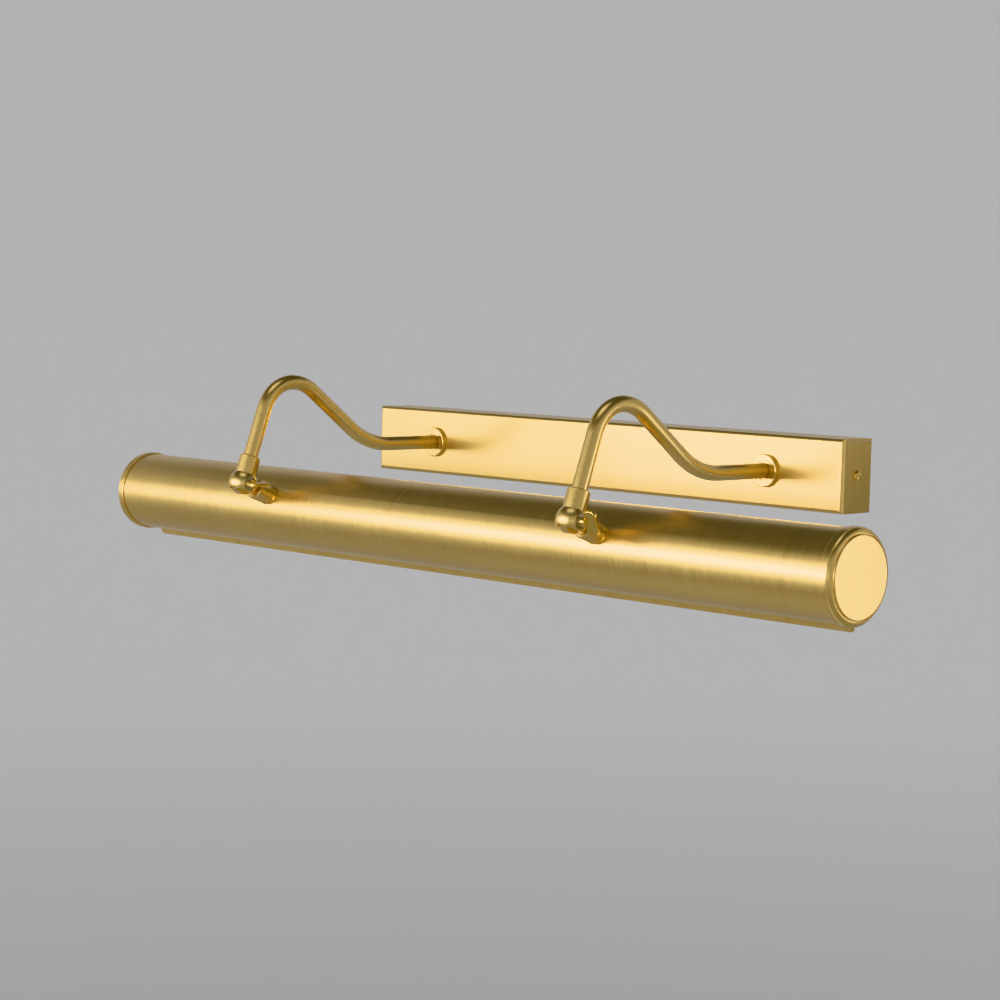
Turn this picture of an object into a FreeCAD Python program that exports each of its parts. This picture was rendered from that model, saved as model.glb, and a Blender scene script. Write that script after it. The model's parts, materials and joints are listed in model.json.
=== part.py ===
import FreeCAD, Part
import math
import os
import re

import Sketcher

# A brass picture light. A folded cover on a wall bracket carries two bent arms. Each arm ends in a
# ball knuckle, and the two knuckles hold a slotted tubular shade that tilts about one line.
#
# Frame: the origin is the centre of the bracket's rear face, on the wall. +X runs along the wall,
# +Y goes into the wall and +Z is up, so the light stands out towards -Y. Millimetres and degrees.
#
# Pieces at the pivot are drawn in the leg's frame (+Z up the arm's front leg) or in the barrel's
# frame (+Y from the pivot to the shade's axis). Pieces of the shade are drawn about its own axis,
# with -Y pointing back to the pivot.

V = FreeCAD.Vector
SIDES = (("left", -1), ("right", 1))

doc = FreeCAD.newDocument("picture_light")

# ---------------------------------------------------------------- driving dimensions

SIZES = (
    ("cover_length", 424.5, "cover, end to end"),
    ("cover_height", 46, "cover, top to bottom"),
    ("cover_depth", 28.4, "cover, wall to front face"),
    ("cover_sheet", 1.2, "cover sheet thickness"),
    ("cover_bend", 2.4, "outer radius of the cover's folds"),
    ("corner_slit", 0.2, "open slit between two folded flaps"),
    ("bracket_height", 34, "wall bracket strip, top to bottom"),
    ("bracket_sheet", 1.5, "wall bracket sheet thickness"),
    ("strip_bend", 1.2, "outer bend of a folded strip, in sheet thicknesses"),
    ("lug_depth", 20, "bracket lug, wall to tip"),
    ("lug_gap", 0.3, "gap between a lug and the cover's end"),
    ("wall_slot_spacing", 240, "between the two wall slots"),
    ("wall_slot_length", 12, "wall slot, end to end"),
    ("wall_slot_radius", 2.5, "half the width of a wall slot"),
    ("cable_place", 45, "cable entry, along -X from the centre"),
    ("cable_hole_radius", 6.5, "cable hole in the bracket"),
    ("grommet_bore", 4.5, "bore radius of the cable grommet"),
    ("grommet_flange", 8.5, "flange radius of the cable grommet"),
    ("grommet_lip", 1.6, "flange thickness of the cable grommet"),
    ("screw_radius", 2, "M4 screws"),
    ("screw_gap", 0.15, "clearance round a screw in a plain hole"),
    ("thread_gap", 0.05, "clearance drawn in a threaded or running fit"),
    ("cover_screw_inset", 13.2, "cover screw, wall to axis"),
    ("cover_screw_head", 3.7, "head radius of the cover screws"),
    ("cover_screw_dome", 2.3, "head height of the cover screws"),
    ("cover_screw_edge", 0.6, "upright edge and flat top of the cover screws' heads"),
    ("cover_screw_tip", 1.5, "cover screw past its lug"),
    ("dome_round", 1.4, "dome of the cover screws, in head radii"),
    ("driver_slot", 0.9, "width and depth of a screw's driver slot"),
    ("small_head", 2, "head height of the small screws"),
    ("head_edge", 0.5, "chamfer of the small screws' heads"),
    ("block_place", 45, "terminal block, along X from the centre"),
    ("block_width", 18, "terminal block along X"),
    ("block_height", 25, "terminal block along Z"),
    ("block_depth", 14, "terminal block out from the bracket"),
    ("pole_pitch", 8, "between two poles of the terminal block"),
    ("block_round", 1, "rounding of the terminal block's front edges"),
    ("port_depth", 5, "depth of a wire port"),
    ("pole_screw_radius", 1.7, "screws of the terminal block's poles"),
    ("pole_screw_length", 2.2, "screws of the terminal block's poles"),
    ("pole_seat", 3, "depth of a pole screw's seat"),
    ("pole_slot", 0.6, "width of a pole screw's driver slot"),
    ("block_screw_radius", 1.4, "screw that holds the terminal block"),
    ("block_screw_head", 2.2, "head radius of the terminal block's screw"),
    ("earth_place", 80, "earth screw, along -X from the centre"),
    ("earth_drop", 10, "earth screw, below mid-height"),
    ("earth_head", 3.6, "head radius of the earth screw"),
    ("earth_washer_radius", 4.4, "washer under the earth screw"),
    ("arm_spacing", 304.3, "between the two arms"),
    ("arm_radius", 5, "arm tube, outside"),
    ("arm_bore", 4, "arm tube, inside radius"),
    ("arm_out", 162.5, "wall to the top of the arm's arch"),
    ("arm_top", 44, "top of the arch, centreline, above the arm's foot"),
    ("arm_slope", 37, "climb of the arm's straight run"),
    ("foot_radius", 60, "bend at the foot of the climb"),
    ("rise_radius", 30, "bend into the top of the arch"),
    ("fall_radius", 25, "bend from the top of the arch into the leg"),
    ("leg_lean", 19.5, "lean of the front leg from upright"),
    ("leg_length", 53.2, "end of the last bend to the pivot"),
    ("arm_inside", 2, "arm thread showing past its nut"),
    ("rosette_radius", 10.6, "rosette, outside"),
    ("rosette_thickness", 3, "rosette, cover to front face"),
    ("rosette_round", 0.8, "rounding of the rosette's edge"),
    ("rosette_recess", 0.9, "depth and width of the recess round the arm"),
    ("nut_flats", 14, "M10 thin nut, across flats"),
    ("nut_thickness", 3, "M10 thin nut"),
    ("washer_radius", 8, "M10 lock washer, outside"),
    ("washer_thickness", 0.8, "M10 lock washer"),
    ("collar_radius", 7, "knuckle collar, outside"),
    ("collar_top", 18.6, "pivot to the top of the collar"),
    ("collar_edge", 0.5, "chamfer of the collar's mouth"),
    ("arm_stop", 9.4, "pivot to the end of the arm in the collar"),
    ("ball_radius", 9.5, "knuckle ball"),
    ("ball_flat", 5.4, "pivot to the flat under the ball"),
    ("blind_gap", 0.5, "free depth past the blind end of a thread"),
    ("wire_bore", 2.6, "bore radius from the collar to the slot"),
    ("slot_width", 6, "slot in the ball"),
    ("slot_radius", 8.3, "round bottom of the slot"),
    ("slot_rise", 6.6, "top of the slot's rear mouth above the pivot"),
    ("slot_notch", 4.6, "pivot down to the slot's front mouth"),
    ("spot_radius", 4.9, "spot face on the ball"),
    ("spot_place", 7.6, "pivot to the spot face"),
    ("blind_end", 7.6, "pivot to the end of the clamp screw's thread"),
    ("tip_gap", 0.4, "wing screw's tip to the end of its thread"),
    ("blade_gap", 0.2, "gap on each side of the blade"),
    ("blade_radius", 7.6, "rounded end of the blade"),
    ("neck_height", 7, "neck between the blade and the barrel"),
    ("barrel_radius", 7, "barrel, outside"),
    ("barrel_start", 10.4, "pivot to the barrel's near face"),
    ("barrel_reach", 24.5, "pivot to the shade's surface"),
    ("barrel_edge", 0.8, "chamfer of the barrel's near face"),
    ("barrel_toe", 1.4, "chamfer of the barrel's seat, along the barrel"),
    ("toe_slope", 0.7, "chamfer of the barrel's seat, depth over length"),
    ("barrel_dip", 22, "barrel below the horizontal at rest"),
    ("clamp_washer_radius", 4.5, "washer under the wing screw"),
    ("clamp_washer_thickness", 0.8, "washer under the wing screw"),
    ("wing_collar_radius", 3.1, "round collar of the wing screw"),
    ("wing_collar_length", 4.2, "round collar of the wing screw"),
    ("wing_height", 15, "wing, tip to tip"),
    ("wing_length", 9, "wing, along the screw"),
    ("wing_thickness", 2.4, "wing"),
    ("wing_corner", 3.4, "rounding of the wing's corners"),
    ("wing_sink", 0.8, "wing let into its collar"),
    ("wing_edge", 0.6, "rounding of the wing's edges and chamfer of its collar"),
    ("wing_turn_left", 90, "turn of the left wing from upright"),
    ("wing_turn_right", 20, "turn of the right wing from upright"),
    ("shade_radius", 26.65, "shade tube, outside"),
    ("shade_wall", 0.8, "shade sheet thickness"),
    ("shade_length", 633, "visible tube between the two end caps"),
    ("cap_lap", 4.5, "tube inside each end cap"),
    ("slot_start", 127, "barrel round to the slot's front edge"),
    ("slot_open", 80, "opening angle of the light slot"),
    ("lip_depth", 6, "outward lip along each edge of the slot"),
    ("lip_corner", 3, "rounding of the lip's ends"),
    ("lip_gap", 0.4, "gap between a lip and an end cap"),
    ("cap_wall", 0.9, "end cap sheet thickness"),
    ("cap_fit", 0.05, "clearance between an end cap and the tube"),
    ("cap_lip", 0.6, "rounding of an end cap's open edge"),
    ("cap_rim", 4.9, "straight rim of an end cap"),
    ("cap_shoulder", 2.6, "seam side to groove, along the axis"),
    ("shoulder_round", 1.5, "bend of the shoulder, in shoulder lengths"),
    ("cap_step", 0.35, "small step at the end of the rim"),
    ("cap_groove", 0.5, "depth of the groove round the end disc"),
    ("disc_radius", 24, "raised end disc"),
    ("disc_rise", 1.4, "end disc above the groove"),
    ("disc_round", 1.2, "rounding of the end disc's edge"),
    ("nipple_bore", 3.5, "bore radius of the M10 nipples"),
    ("nipple_depth", 7, "nipple inside the barrel"),
    ("nipple_past", 1, "nipple past its nut"),
    ("strip_width", 14, "lamp bracket strip"),
    ("strip_sheet", 1.2, "lamp bracket sheet thickness"),
    ("strip_tail", 12, "strip past the nipple, towards the middle"),
    ("seat_gap", 0.05, "clearance of the strip's edges in the tube"),
    ("holder_inset", 46.5, "end cap's seam to the lamp bracket's leg"),
    ("leg_past_axis", 9, "lamp bracket's leg past the shade's axis"),
    ("holder_radius", 12.5, "lampholder, outside"),
    ("holder_length", 42, "lampholder"),
    ("holder_cavity", 7.75, "cavity radius of the lampholder"),
    ("holder_base", 10, "lampholder's base, solid end"),
    ("holder_thread", 7, "nipple inside the lampholder's base"),
    ("holder_edge", 1.5, "chamfer of the lampholder's base"),
    ("shell_wall", 0.5, "screw shell in the lampholder"),
    ("shell_length", 24, "screw shell in the lampholder"),
    ("contact_radius", 2.6, "centre contact"),
    ("contact_height", 1.2, "centre contact"),
    ("contact_edge", 0.6, "slope of the centre contact's edge"),
    ("lamp_cap_radius", 6.9, "E14 lamp cap"),
    ("lamp_cap_length", 24, "E14 lamp cap with its tip"),
    ("lamp_tip", 2.8, "tip of the lamp cap"),
    ("tip_radius", 2, "end of the lamp cap's tip, and its shoulder"),
    ("glass_radius", 12.5, "tubular lamp, outside"),
    ("glass_wall", 0.8, "tubular lamp glass"),
    ("glass_length", 164, "tubular lamp glass"),
    ("glass_neck", 14, "neck of the glass, from the cap to its full width"),
    ("glass_seat", 0.3, "glass inside the rim of the lamp cap"),
    ("lead_radius", 2, "sleeved two-core lead in the arms"),
    ("lead_depth", 9, "lead in the cover, wall to axis"),
    ("lead_short", 1, "end of a lead, short of its port's floor"),
    ("lead_bend", 6, "bend of the lead behind each arm"),
    ("fine_lead_radius", 1.4, "heat-proof lead in the shade"),
    ("fine_lead_inset", 9.65, "shade's surface to the lead inside it"),
    ("fine_lead_bend", 3.4, "bends of the lead in the shade"),
    ("fine_lead_end", 9, "end of the lead in the lampholder's port"),
    ("port_place", 5, "lampholder's side port, from the bracket's leg"),
)

# Places that follow from the sizes. Each is a formula, so it moves with them.
PLACES = (
    ("rise_y", "rise_radius * sin(arm_slope) - arm_out"),
    ("rise_z", "arm_top - rise_radius * (1 - cos(arm_slope))"),
    ("foot_corner", "rise_y + rise_z / tan(arm_slope)"),
    ("foot_tangent", "foot_radius * tan(arm_slope / 2)"),
    ("fall_y", "0 - arm_out - fall_radius * cos(leg_lean)"),
    ("fall_z", "arm_top - fall_radius * (1 - sin(leg_lean))"),
    ("pivot_y", "fall_y - leg_length * sin(leg_lean)"),
    ("pivot_z", "fall_z - leg_length * cos(leg_lean)"),
    ("arm_end_y", "pivot_y + arm_stop * sin(leg_lean)"),
    ("arm_end_z", "pivot_z + arm_stop * cos(leg_lean)"),
    ("arm_back", "cover_depth - cover_sheet - washer_thickness - nut_thickness - arm_inside"),
    ("shade_reach", "barrel_reach + shade_radius"),
    ("shade_y", "pivot_y + shade_reach * cos(barrel_dip)"),
    ("shade_z", "pivot_z - shade_reach * sin(barrel_dip)"),
    ("lug_place", "cover_length / 2 - cover_sheet - lug_gap"),
    ("block_face", "bracket_sheet + block_depth"),
    ("ball_junction", "sqrt(ball_radius ^ 2 - collar_radius ^ 2)"),
    ("flat_radius", "sqrt(ball_radius ^ 2 - ball_flat ^ 2)"),
    ("wing_start", "spot_place + clamp_washer_thickness"),
    ("seam", "shade_length / 2"),
    ("holder_place", "seam - holder_inset"),
    ("cap_inside", "shade_radius + cap_fit"),
    ("cap_outside", "cap_inside + cap_wall"),
    ("groove_place", "cap_rim + cap_shoulder"),
    ("disc_face", "groove_place - cap_groove + disc_rise"),
    ("tube_bore", "shade_radius - shade_wall"),
    ("strip_out", "sqrt(tube_bore ^ 2 - (strip_width / 2) ^ 2) - seat_gap"),
    ("strip_in", "strip_out - strip_sheet"),
    ("shade_nut_out", "strip_in - washer_thickness"),
    ("nipple_in", "shade_nut_out - nut_thickness - nipple_past"),
    ("fine_lead_place", "shade_radius - fine_lead_inset"),
    ("contact_face", "holder_place - holder_base - contact_height"),
    ("glass_start", "contact_face - lamp_cap_length"),
    ("glass_end", "glass_start - glass_length"),
)

sizes = doc.addObject("Spreadsheet::Sheet", "Sizes")
places = doc.addObject("Spreadsheet::Sheet", "Places")
SHEET_OF = {alias: "Sizes." for alias, value, note in SIZES}


def bound(text):
    """Write a formula out with each alias's sheet before it."""
    return re.sub(r"[a-z_]+", lambda word: SHEET_OF.get(word.group(), "") + word.group(), text)


for row, (alias, value, note) in enumerate(SIZES, 1):
    sizes.set(f"A{row}", note)
    sizes.set(f"B{row}", str(value))
    sizes.setAlias(f"B{row}", alias)
doc.recompute()
for row, (alias, formula) in enumerate(PLACES, 1):
    places.set(f"B{row}", "=" + bound(formula))
    places.setAlias(f"B{row}", alias)
    SHEET_OF[alias] = "Places."
doc.recompute()


def number(text):
    """The present value of a formula."""
    value = sizes.evalExpression(bound(text))
    return float(getattr(value, "Value", value))


# ---------------------------------------------------------------- sketches and features

SUB_PARTS = []


def new_body(label, x="0", y="0", z="0", turn=None):
    """A sub-part's body at x, y, z. turn is its rotation about X."""
    body = doc.addObject("PartDesign::Body", label)
    body.Label = label
    if turn is not None:
        body.Placement = FreeCAD.Placement(V(), FreeCAD.Rotation(V(1, 0, 0), 1))
        body.setExpression("Placement.Rotation.Angle", bound(turn))
    for axis, place in zip("xyz", (x, y, z)):
        if place != "0":
            body.setExpression("Placement.Base." + axis, bound(place))
    return body


def keep(item, label=None):
    """Count an object as a sub-part of the light."""
    if label:
        item.Label = label
    SUB_PARTS.append(item)
    return item


def new_sketch(body, plane, offset=None):
    """A sketch on one of the body's own planes, moved along its normal by offset."""
    sketch = body.newObject("Sketcher::SketchObject", body.Label + "_sketch")
    support = [item for item in body.Origin.OriginFeatures if item.Role == plane + "_Plane"]
    sketch.AttachmentSupport = [(support[0], "")]
    sketch.MapMode = "FlatFace"
    if offset:
        sketch.setExpression("AttachmentOffset.Base.z", bound(offset))
    return sketch


def pin_point(sketch, piece, end, x, y):
    """Tie one point of the sketch to two formulas."""
    for kind, axis, text in (("DistanceX", -2, x), ("DistanceY", -1, y)):
        if text == "0":
            sketch.addConstraint(Sketcher.Constraint("PointOnObject", piece, end, axis))
        else:
            limit = Sketcher.Constraint(kind, -1, 1, piece, end, number(text))
            sketch.setExpression(f"Constraints[{sketch.addConstraint(limit)}]", bound(text))


def arc_between(start, end, radius):
    """The short arc from start to end; it turns left if radius is positive, or else right."""
    chord = end - start
    height = math.sqrt(max(radius * radius - chord.Length ** 2 / 4, 0))
    left = V(-chord.y, chord.x, 0).normalize()
    centre = (start + end) / 2 + left * math.copysign(height, radius)
    first, last = (start, end) if radius > 0 else (end, start)
    angles = [math.atan2(point.y - centre.y, point.x - centre.x) for point in (first, last)]
    if angles[1] < angles[0]:
        angles[1] += 2 * math.pi
    return Part.ArcOfCircle(Part.Circle(centre, V(0, 0, 1), abs(radius)), *angles)


def draw(sketch, corners, closed=True):
    """Draw an outline. A corner is x, y, or x, y and the radius of the arc that leads to it."""
    points = [V(number(corner[0]), number(corner[1]), 0) for corner in corners]
    ends = []
    for index, corner in enumerate(corners):
        if index == 0 and not closed:
            continue
        start = points[index - 1]
        if len(corner) == 2:
            piece = sketch.addGeometry(Part.LineSegment(start, points[index]), False)
            ends.append((piece, 1, 2))
        else:
            radius = number(corner[2])
            piece = sketch.addGeometry(arc_between(start, points[index], radius), False)
            limit = sketch.addConstraint(Sketcher.Constraint("Radius", piece, abs(radius)))
            sketch.setExpression(f"Constraints[{limit}]", f"abs({bound(corner[2])})")
            ends.append((piece, 1, 2) if radius > 0 else (piece, 2, 1))
        pin_point(sketch, piece, ends[-1][2], corner[0], corner[1])
    if not closed:
        pin_point(sketch, ends[0][0], ends[0][1], corners[0][0], corners[0][1])
    for before, after in zip(ends[-1:] + ends, ends) if closed else zip(ends, ends[1:]):
        sketch.addConstraint(Sketcher.Constraint("Coincident", before[0], before[2], after[0], after[1]))


def draw_circle(sketch, x, y, radius):
    """Draw a circle about x, y."""
    centre = V(number(x), number(y), 0)
    piece = sketch.addGeometry(Part.Circle(centre, V(0, 0, 1), number(radius)), False)
    limit = sketch.addConstraint(Sketcher.Constraint("Radius", piece, number(radius)))
    sketch.setExpression(f"Constraints[{limit}]", bound(radius))
    pin_point(sketch, piece, 3, x, y)


def box_corners(left, low, right, high):
    """The four corners of an upright rectangle."""
    return [(left, low), (right, low), (right, high), (left, high)]


def pad(body, plane, length, corners=(), circles=(), offset=None, midplane=False):
    """Pad one outline, or circles, along the plane's normal (XZ pads towards -Y)."""
    sketch = new_sketch(body, plane, offset)
    if corners:
        draw(sketch, corners)
    for circle in circles:
        draw_circle(sketch, *circle)
    feature = body.newObject("PartDesign::Pad", body.Label + "_pad")
    feature.Profile = sketch
    feature.Midplane = midplane
    feature.setExpression("Length", bound(length))
    doc.recompute()
    return feature


def pocket(body, plane, corners=(), circles=(), length=None, offset=None, onward=False):
    """Cut through everything, both ways; or with a length, one way (onward: along the normal)."""
    before = body.Shape.Volume
    sketch = new_sketch(body, plane, offset)
    if corners:
        draw(sketch, corners)
    for circle in circles:
        draw_circle(sketch, *circle)
    feature = body.newObject("PartDesign::Pocket", body.Label + "_pocket")
    feature.Profile = sketch
    if length is None:
        feature.Type = "ThroughAll"
        feature.Midplane = True
    else:
        feature.Reversed = onward
        feature.setExpression("Length", bound(length))
    doc.recompute()
    if body.Shape.Volume >= before - 1e-6:
        raise RuntimeError(f"a pocket of {body.Label} cuts nothing")
    return feature


def revolve(body, plane, axis, corners, cut=False):
    """Turn an outline about the sketch's own H_Axis or V_Axis."""
    sketch = new_sketch(body, plane)
    draw(sketch, corners)
    kind = "PartDesign::Groove" if cut else "PartDesign::Revolution"
    feature = body.newObject(kind, body.Label + "_turned")
    feature.Profile = sketch
    feature.ReferenceAxis = (sketch, [axis])
    feature.Angle = 360
    doc.recompute()
    return feature


def edges_where(feature, test, length=None):
    """Names of a feature's edges whose two ends both pass the test, of one length if it is given."""
    found = []
    for index, edge in enumerate(feature.Shape.Edges, 1):
        ends = [vertex.Point for vertex in edge.Vertexes]
        if len(ends) == 2 and all(test(end) for end in ends):
            if length is None or near(edge.Length, number(length)):
                found.append(f"Edge{index}")
    return found


def round_edges(body, feature, names, radius):
    """Round the named edges of a feature."""
    fillet = body.newObject("PartDesign::Fillet", body.Label + "_round")
    fillet.Base = (feature, names)
    fillet.setExpression("Radius", bound(radius))
    doc.recompute()
    return fillet


def near(value, target):
    return abs(value - target) < 1e-4


def group(label, members):
    """Identical fasteners as separate solids of one sub-part."""
    item = doc.addObject("Part::Compound", label)
    item.Links = members
    return keep(item, label)


# ---------------------------------------------------------------- wall bracket and cover

def make_wall_bracket():
    """A steel strip with a lug bent forward at each end for the cover's screws."""
    body = new_body("wall_bracket")
    inside = "lug_place - bracket_sheet"
    corners = [("0 - lug_place", "0"), ("lug_place", "0"),
               ("lug_place", "0 - lug_depth"), (inside, "0 - lug_depth"),
               (inside, "0 - bracket_sheet"), (f"0 - ({inside})", "0 - bracket_sheet"),
               (f"0 - ({inside})", "0 - lug_depth"), ("0 - lug_place", "0 - lug_depth")]
    strip = pad(body, "XY", "bracket_height", corners, midplane=True)
    bends = edges_where(strip, lambda point: near(abs(point.x), number("lug_place")) and near(point.y, 0),
                        "bracket_height")
    round_edges(body, strip, bends, "bracket_sheet * strip_bend")
    slot_half = "wall_slot_length / 2 - wall_slot_radius"
    for name, side in SIDES:
        middle = f"{side} * wall_slot_spacing / 2"
        ends = [f"{middle} - ({slot_half})", f"{middle} + ({slot_half})"]
        pocket(body, "XZ", circles=[(end, "0", "wall_slot_radius") for end in ends])
        pocket(body, "XZ", box_corners(ends[0], "0 - wall_slot_radius", ends[1], "wall_slot_radius"))
    pocket(body, "XZ", circles=[("0 - cable_place", "0", "cable_hole_radius"),
                                ("block_place", "pole_pitch / 2", "block_screw_radius + thread_gap"),
                                ("0 - earth_place", "0 - earth_drop", "screw_radius + thread_gap")])
    pocket(body, "YZ", circles=[("0 - cover_screw_inset", "0", "screw_radius + thread_gap")])
    keep(body)


def make_cable_grommet():
    """A rubber bush with its flange on the front of the bracket."""
    body = new_body("cable_grommet", x="0 - cable_place")
    front = "0 - bracket_sheet - grommet_lip"
    corners = [("grommet_bore", "0"), ("cable_hole_radius", "0"), ("cable_hole_radius", "0 - bracket_sheet"),
               ("grommet_flange", "0 - bracket_sheet"), ("grommet_flange", front), ("grommet_bore", front)]
    revolve(body, "XY", "V_Axis", corners)
    keep(body)


def make_cover():
    """A folded brass box, open at the wall, with slit corners in its end flaps."""
    body = new_body("cover")
    across, up = "cover_length / 2", "cover_height / 2"
    block = pad(body, "XZ", "cover_depth", box_corners("0 - " + across, "0 - " + up, across, up))
    front = edges_where(block, lambda point: near(point.y, -number("cover_depth")))
    folded = round_edges(body, block, front, "cover_bend")
    shell = body.newObject("PartDesign::Thickness", "cover_shell")
    rear = [f"Face{index}" for index, face in enumerate(folded.Shape.Faces, 1)
            if near(face.BoundBox.YMin, 0) and near(face.BoundBox.YMax, 0)]
    shell.Base = (folded, rear)
    shell.Reversed = True
    shell.setExpression("Value", bound("cover_sheet"))
    doc.recompute()
    pocket(body, "XZ", circles=[(f"{side} * arm_spacing / 2", "0", "arm_radius + screw_gap")
                                for name, side in SIDES])
    pocket(body, "YZ", circles=[("0 - cover_screw_inset", "0", "screw_radius + screw_gap")])
    inner, fold = "cover_height / 2 - cover_sheet", "cover_bend - cover_depth"
    pocket(body, "YZ", box_corners(fold, f"{inner} - corner_slit", "1", inner))
    pocket(body, "YZ", box_corners(fold, f"0 - ({inner})", "1", f"corner_slit - ({inner})"))
    keep(body)


def make_cover_screws():
    """Slotted pan-head screws through the cover's ends into the bracket's lugs."""
    screws = []
    for name, side in SIDES:
        body = new_body("cover_screw_" + name, y="0 - cover_screw_inset")
        face, tip = f"{side} * cover_length / 2", f"{side} * (lug_place - bracket_sheet - cover_screw_tip)"
        top = f"{side} * (cover_length / 2 + cover_screw_dome)"
        corners = [(face, "screw_radius"), (face, "cover_screw_head"),
                   (f"{side} * (cover_length / 2 + cover_screw_edge)", "cover_screw_head"),
                   (top, "cover_screw_edge", f"{-side} * cover_screw_head * dome_round"),
                   (top, "0"), (tip, "0"), (tip, "screw_radius")]
        revolve(body, "XY", "H_Axis", corners)
        slot_floor = f"{side} * (cover_length / 2 + cover_screw_dome - driver_slot)"
        outer = f"{side} * (cover_length / 2 + cover_screw_dome + driver_slot)"
        ends = (slot_floor, outer) if side > 0 else (outer, slot_floor)
        pocket(body, "XZ", box_corners(ends[0], "0 - driver_slot / 2", ends[1], "driver_slot / 2"))
        screws.append(body)
    group("cover_screws", screws)


# ---------------------------------------------------------------- wiring in the cover

def make_terminal_block():
    """A three-pole block on the bracket, with a wire port at both ends of each pole."""
    body = new_body("terminal_block", x="block_place")
    half, up = "block_width / 2", "block_height / 2"
    block = pad(body, "XZ", "block_depth", box_corners("0 - " + half, "0 - " + up, half, up),
                offset="bracket_sheet")
    corners = edges_where(block, lambda point: near(point.y, -number("block_face")))
    round_edges(body, block, corners, "block_round")
    poles = [f"{step} * pole_pitch" for step in (-1, 0, 1)]
    for side in (-1, 1):
        pocket(body, "YZ", circles=[("0 - lead_depth", pole, "lead_radius + screw_gap") for pole in poles],
               offset=f"{side} * block_width / 2", length="port_depth", onward=side < 0)
    seats = [(f"{side} * block_width / 4", pole, "pole_screw_radius + thread_gap")
             for side in (-1, 1) for pole in poles]
    pocket(body, "XZ", circles=seats, offset="block_face", length="pole_seat")
    pocket(body, "XZ", circles=[("0", "pole_pitch / 2", "block_screw_radius + thread_gap")])
    keep(body)
    screws = []
    for index, (x, z, radius) in enumerate(seats, 1):
        screw = new_body(f"pole_screw_{index}", x=f"block_place + {x}", z=z)
        pad(screw, "XZ", "pole_screw_length", circles=[("0", "0", "pole_screw_radius")],
            offset="block_face - pole_seat")
        slot_floor = "pole_seat - pole_screw_length + pole_slot - block_face"
        pocket(screw, "YZ", box_corners("0 - block_face", "0 - pole_slot / 2", slot_floor, "pole_slot / 2"))
        screws.append(screw)
    group("terminal_screws", screws)


def turned_screw(label, x, z, seat, head, radius):
    """A screw along Y: its head stands on seat, and its shank goes back to the wall."""
    body = new_body(label, x=x, z=z)
    top = f"0 - ({seat}) - small_head"
    corners = [("0", "0"), (radius, "0"), (radius, f"0 - ({seat})"), (head, f"0 - ({seat})"),
               (head, f"head_edge + {top}"), (f"{head} - head_edge", top), ("0", top)]
    revolve(body, "XY", "V_Axis", corners)
    pocket(body, "YZ", box_corners(f"{top} - driver_slot", "0 - driver_slot / 2",
                                   f"driver_slot + {top}", "driver_slot / 2"))
    keep(body)


def make_wiring():
    """Screws for the block and for earth, and the leads that run into the arms."""
    turned_screw("terminal_block_screw", "block_place", "pole_pitch / 2", "block_face",
                 "block_screw_head", "block_screw_radius")
    turned_screw("earth_screw", "0 - earth_place", "0 - earth_drop", "bracket_sheet + washer_thickness",
                 "earth_head", "screw_radius")
    washer = new_body("earth_washer", x="0 - earth_place", z="0 - earth_drop")
    pad(washer, "XZ", "washer_thickness", offset="bracket_sheet",
        circles=[("0", "0", "earth_washer_radius"), ("0", "0", "screw_radius + screw_gap")])
    keep(washer)
    for name, side in SIDES:
        spacing = side * number("arm_spacing / 2")
        port = number(f"block_place + {side} * (block_width / 2 - port_depth + lead_short)")
        depth, top = -number("lead_depth"), number("arm_top")
        turn = number("foot_radius")
        route = [V(port, depth, 0), V(spacing, depth, 0), V(spacing, number("foot_corner"), 0),
                 V(spacing, number("rise_radius * tan(arm_slope / 2) - arm_out"), top),
                 V(spacing, number("0 - arm_out - fall_radius * tan(45 - leg_lean / 2)"), top),
                 V(spacing, number("arm_end_y"), number("arm_end_z"))]
        bends = [number("lead_bend"), turn, number("rise_radius"), number("fall_radius")]
        lead = doc.addObject("Part::Feature", "lead_arm_" + name)
        lead.Shape = bent_rod(route, bends, number("lead_radius"))
        keep(lead, "lead_arm_" + name)


def bent_rod(route, bends, radius):
    """A round rod along straight runs that are joined by tangent arcs."""
    edges = []
    start = route[0]
    for corner, after, bend in zip(route[1:], route[2:], bends):
        before = (start - corner).normalize()
        onward = (after - corner).normalize()
        half = before.getAngle(onward) / 2
        tangent = bend / math.tan(half)
        first, last = corner + before * tangent, corner + onward * tangent
        centre = corner + (before + onward).normalize() * (bend / math.sin(half))
        middle = centre + (corner - centre).normalize() * bend
        if (first - start).Length > 1e-6:
            edges.append(Part.LineSegment(start, first).toShape())
        edges.append(Part.Arc(first, middle, last).toShape())
        start = last
    edges.append(Part.LineSegment(start, route[-1]).toShape())
    section = Part.Wire([Part.Circle(route[0], route[1] - route[0], radius).toShape()])
    rod = Part.Wire(edges).makePipeShell([section], True, False)
    expected = math.pi * radius ** 2 * sum(edge.Length for edge in edges)
    if abs(rod.Volume - expected) > 0.01 * expected:
        raise RuntimeError("a bent rod's volume is not its section times its length")
    return rod


# ---------------------------------------------------------------- arms

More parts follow.
